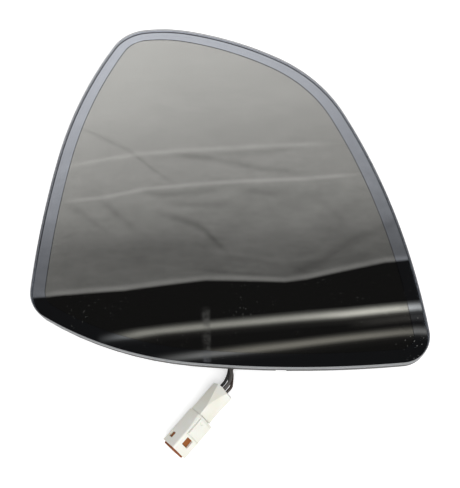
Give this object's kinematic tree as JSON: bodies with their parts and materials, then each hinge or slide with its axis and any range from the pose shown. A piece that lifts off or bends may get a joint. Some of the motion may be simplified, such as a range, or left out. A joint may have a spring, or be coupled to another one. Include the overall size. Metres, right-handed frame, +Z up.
{
  "type": "car door mirror glass",
  "caption": "Heated, self-dimming door mirror glass with a bright border, on a ribbed black back plate with a snap collar, short leads and a white plug.",
  "frame": {"origin": "on the table, under the middle of the glass", "axes": "+Z up, out of the mirror face; +Y towards the peaked upper edge; +X towards the small-radius lower right corner"},
  "size_m": [0.156, 0.1974, 0.0202],
  "materials": {
    "clear_glass": "polished, ground edge",
    "border_chrome": "bluish vacuum-deposited mirror coating",
    "seal": "cured epoxy",
    "fill_resin": "cured resin",
    "gel": "clear gel",
    "mirror_silver": "slightly yellow mirror coating",
    "rear_glass": "polished, ground edge",
    "contact_foil": "dull tinned foil",
    "heater_film": "printed film",
    "foam": "adhesive foam",
    "black_plastic": "fine grained moulding",
    "tinned_brass": "tinned",
    "rivet_steel": "plated",
    "solder": "shiny",
    "black_lead": "smooth insulation",
    "grey_lead": "smooth insulation",
    "brown_lead": "smooth insulation",
    "white_plastic": "ivory moulding",
    "rust_plastic": "moulded"
  },
  "bodies": {
    "root": {"front_glass": "clear_glass", "border_coating": "border_chrome", "edge_seal": "seal", "fill_plug": "fill_resin", "dimming_gel": "gel", "reflector_coating": "mirror_silver", "rear_glass": "rear_glass", "bus_clip_left": "contact_foil", "bus_clip_right": "contact_foil", "heater_pad": "heater_film", "adhesive_pad": "foam", "back_plate": "black_plastic", "heater_terminals": "tinned_brass", "terminal_rivets": "rivet_steel", "solder_joints": "solder", "lead_heater_a": "black_lead", "lead_heater_b": "black_lead", "lead_dimming_a": "grey_lead", "lead_dimming_b": "brown_lead", "plug_housing": "white_plastic", "plug_retainer": "rust_plastic", "plug_terminals": "tinned_brass"}
  },
  "joints": []
}
